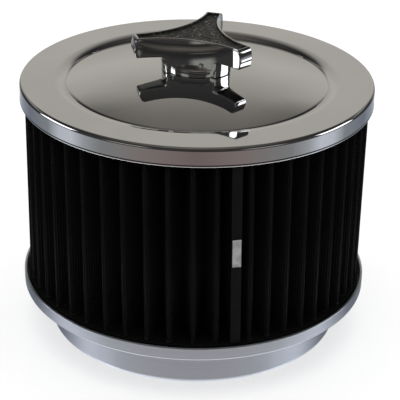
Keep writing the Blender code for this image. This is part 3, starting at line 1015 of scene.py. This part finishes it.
def make_knob_insert(material):
    """Brass bush in the knob's bore."""
    outer = reach("knob_insert")
    low = bottom("knob_insert")
    high = top("knob_insert")
    corners = [(outer, low, 0.3), (outer, high, 0.3), (3.4, high, 0.4), (3.4, low, 0.6)]
    insert = turned("knob_bush", filleted(corners, steps=3), SMALL_SEGMENTS)
    dress(insert, "knob", "turned_brass", material, "knob_insert")


def make_knob_seal(material):
    """Rubber washer with rounded edges."""
    outer = reach("knob_seal")
    low = bottom("knob_seal")
    high = top("knob_seal")
    corners = [(outer, low, 0.6), (outer, high, 0.6), (4.2, high, 0.6), (4.2, low, 0.6)]
    washer = turned("knob_washer", filleted(corners, steps=4), SMALL_SEGMENTS)
    dress(washer, "washer", "washer_rubber", material, "knob_seal")


# ---------------------------------------------------------------- studio

def make_camera():
    """Long lens, a little above the object, turned slightly off its axis."""
    distance = 0.7068
    height = 0.0495
    elevation = math.radians(26.84)
    yaw = math.radians(-0.20)
    pitch = math.radians(0.74)
    roll = math.radians(-1.13)
    right = Vector((1.0, 0.0, 0.0))
    back = Vector((0.0, -math.cos(elevation), math.sin(elevation)))
    up = back.cross(right)
    aim = Matrix((right, up, back)).transposed()
    turn = Matrix.Rotation(yaw, 3, "Y") @ Matrix.Rotation(pitch, 3, "X") @ Matrix.Rotation(-roll, 3, "Z")
    data = bpy.data.cameras.new("camera")
    data.sensor_width = 36.0
    data.lens = 130.4
    camera = bpy.data.objects.new("camera", data)
    camera.matrix_world = Matrix.Translation(Vector((0.0, 0.0, height)) + back * distance) @ (
        (aim @ turn).to_4x4()
    )
    bpy.context.scene.collection.objects.link(camera)
    bpy.context.scene.camera = camera


def make_floor():
    """Plain pale floor, 16 m wide, which the chrome doesn't mirror: the room's gradient does."""
    mesh = bpy.data.meshes.new("floor")
    half = 8.0
    corners = [(-half, -half, 0.0), (half, -half, 0.0), (half, half, 0.0), (-half, half, 0.0)]
    mesh.from_pydata(corners, [], [(0, 1, 2, 3)])
    floor = bpy.data.objects.new("floor", mesh)
    floor.visible_glossy = False
    bpy.context.scene.collection.objects.link(floor)
    shader = Shader("pale_floor", Specular_IOR_Level=0.0, Emission_Strength=0.62)
    shader.principled.inputs["Emission Color"].default_value = (1.0, 1.0, 1.0, 1.0)
    grain = shader.noise(shader.coordinates, 6.0, 3.0)
    shader.set("Base Color", shader.ramp(grain, [(0.3, (0.38, 0.38, 0.38)), (0.7, (0.41, 0.41, 0.41))]))
    shader.set("Roughness", shader.spread(grain, 0.85, 0.95))
    mesh.materials.append(shader.material)


def window(nodes, value, start, full, easing, end):
    """1 between full and easing, smoothly down to 0 at start and at end."""
    rise = nodes.step(value, start, full)
    fall = nodes.step(value, end, easing)
    return nodes.math("MULTIPLY", rise, fall)


def table_top(nodes, around):
    """What lies just below the horizon, from the front round to the back."""
    return nodes.ramp(around, [
        (0.00, (0.180, 0.138, 0.140)),
        (0.15, (0.215, 0.178, 0.172)),
        (0.35, (0.225, 0.230, 0.240)),
        (0.42, (0.340, 0.360, 0.390)),
        (0.48, (0.580, 0.600, 0.680)),
        (0.545, (0.540, 0.570, 0.640)),
        (0.61, (0.240, 0.260, 0.290)),
        (0.75, (0.170, 0.190, 0.230)),
        (0.88, (0.340, 0.370, 0.410)),
        (1.00, (0.950, 0.950, 0.950)),
    ])


def back_wall(nodes, level):
    """The pale wall behind the object, brightest a little above the horizon."""
    return nodes.ramp(level, [
        (0.465, (0.345, 0.340, 0.325)),
        (0.500, (0.378, 0.367, 0.344)),
        (0.544, (0.420, 0.402, 0.373)),
        (0.621, (0.480, 0.462, 0.432)),
        (0.655, (0.475, 0.457, 0.427)),
        (0.703, (0.430, 0.414, 0.386)),
        (0.740, (0.380, 0.363, 0.336)),
        (0.776, (0.323, 0.308, 0.285)),
        (0.810, (0.242, 0.230, 0.210)),
        (0.850, (0.180, 0.170, 0.158)),
        (0.900, (0.120, 0.114, 0.106)),
        (0.950, (0.110, 0.102, 0.094)),
        (1.000, (0.150, 0.135, 0.120)),
    ])


def dark_wall(nodes, level):
    """The dim side of the room where the camera stands, and the ceiling above it."""
    return nodes.ramp(level, [
        (0.45, (0.032, 0.031, 0.033)),
        (0.50, (0.022, 0.021, 0.022)),
        (0.56, (0.046, 0.044, 0.044)),
        (0.74, (0.046, 0.044, 0.044)),
        (0.84, (0.020, 0.019, 0.020)),
        (0.89, (0.034, 0.032, 0.031)),
        (0.93, (0.050, 0.047, 0.045)),
        (0.98, (0.105, 0.095, 0.086)),
        (1.00, (0.150, 0.135, 0.120)),
    ])


def mirrored_room(nodes):
    """What polished metal sees by direction: dark in front, grey behind, soft panels at the sides.

    Directions are given by height, the sine of the elevation, and by around, which runs from
    0 in front to 1 behind on both sides alike.
    """
    direction = nodes.node("ShaderNodeTexCoord").outputs["Generated"]
    split = nodes.node("ShaderNodeSeparateXYZ", {"Vector": direction})
    height = split.outputs["Z"]
    level = nodes.node("ShaderNodeMapRange", {"Value": height, "From Min": -1.0}).outputs["Result"]
    ahead = nodes.math("MULTIPLY", split.outputs["Y"], -1.0)
    aside = nodes.math("ABSOLUTE", split.outputs["X"])
    around = nodes.math("DIVIDE", nodes.math("ARCTAN2", aside, ahead), math.pi)

    corner = nodes.math("MULTIPLY", nodes.step(height, 0.35, 0.62), 0.075)
    behind = nodes.step(nodes.math("SUBTRACT", around, corner), 0.765, 0.89)
    walls = nodes.blend(behind, dark_wall(nodes, level), back_wall(nodes, level))
    for across, upward, glow in (
        ((0.14, 0.20, 0.28, 0.34), (0.05, 0.12, 0.40, 0.48), (0.300, 0.305, 0.290)),
        ((0.66, 0.70, 0.80, 0.84), (0.34, 0.38, 0.48, 0.53), (0.260, 0.255, 0.240)),
        ((0.448, 0.462, 0.612, 0.626), (0.03, 0.07, 0.42, 0.46), (2.20, 2.25, 2.40)),
    ):
        panel = nodes.math(
            "MULTIPLY", window(nodes, around, *across), window(nodes, height, *upward)
        )
        walls = nodes.blend(panel, walls, glow)

    beside = window(nodes, around, 0.38, 0.44, 0.56, 0.62)
    floor = nodes.blend(beside, (1.10, 1.12, 1.16), (2.10, 2.15, 2.30))
    lower = nodes.blend(nodes.step(height, -0.58, -0.72), table_top(nodes, around), floor)
    return nodes.blend(nodes.step(height, -0.33, -0.13), lower, walls)


def make_world():
    """White to the eye, soft overhead light on dull surfaces, a dim room in polished ones."""
    world = bpy.data.worlds.new("studio")
    bpy.context.scene.world = world
    world.use_nodes = True
    world.node_tree.nodes.clear()
    nodes = Nodes(world.node_tree)
    direction = nodes.node("ShaderNodeTexCoord").outputs["Generated"]
    height = nodes.node("ShaderNodeSeparateXYZ", {"Vector": direction}).outputs["Z"]
    overhead = nodes.ramp(height, [
        (0.00, (0.12, 0.12, 0.12)),
        (0.35, (0.16, 0.16, 0.16)),
        (0.70, (0.90, 0.90, 0.90)),
        (0.90, (2.00, 2.00, 2.00)),
        (1.00, (3.00, 3.00, 3.00)),
    ])
    path = nodes.node("ShaderNodeLightPath")
    light = nodes.blend(path.outputs["Is Glossy Ray"], overhead, mirrored_room(nodes))
    seen = nodes.blend(path.outputs["Is Camera Ray"], light, (1.0, 1.0, 1.0))
    background = nodes.node("ShaderNodeBackground", {"Color": seen})
    nodes.node("ShaderNodeOutputWorld", {"Surface": background.outputs["Background"]})


def make_studio():
    """Floor, and the room's soft light."""
    make_floor()
    make_world()
    bpy.context.scene.view_settings.view_transform = "Standard"


make_camera()
chrome = polished_chrome("polished_chrome", 0.00018)
# The knob's faces that look down get a dark grey: painted shade under its arms.
cast_chrome = polished_chrome("cast_chrome", 0.0003, (0.16, 0.17, 0.17))
aluminium = turned_aluminium()
wire = black_wire()
make_base_tray(aluminium)
make_neck_collar(aluminium)
make_neck_gasket(fibre_gasket())
make_centre_stud(plated_steel())
make_media(cotton_gauze())
make_wire_cloth("outer_cloth", "outer_wire_mesh", CLOTH_DEPTH, OUTER_WEFT_PITCH, wire)
make_wire_cloth("inner_cloth", "inner_wire_mesh", PLEAT_STACK - CLOTH_DEPTH, INNER_WEFT_PITCH, wire)
make_end_seals(moulded_black("moulded_seal", (0.0025, 0.0025, 0.0025), 0.7, 900.0, 0.04))
make_seam(
    moulded_black("black_strip", (0.004, 0.004, 0.0042), 0.5, 1400.0, 0.06),
    pale_patch(),
)
make_lid(chrome)
make_knob_body(cast_chrome)
make_knob_inlay(black_wrinkle())
make_knob_insert(turned_brass())
make_knob_seal(moulded_black("washer_rubber", (0.01, 0.01, 0.01), 0.75, 1200.0))
make_studio()
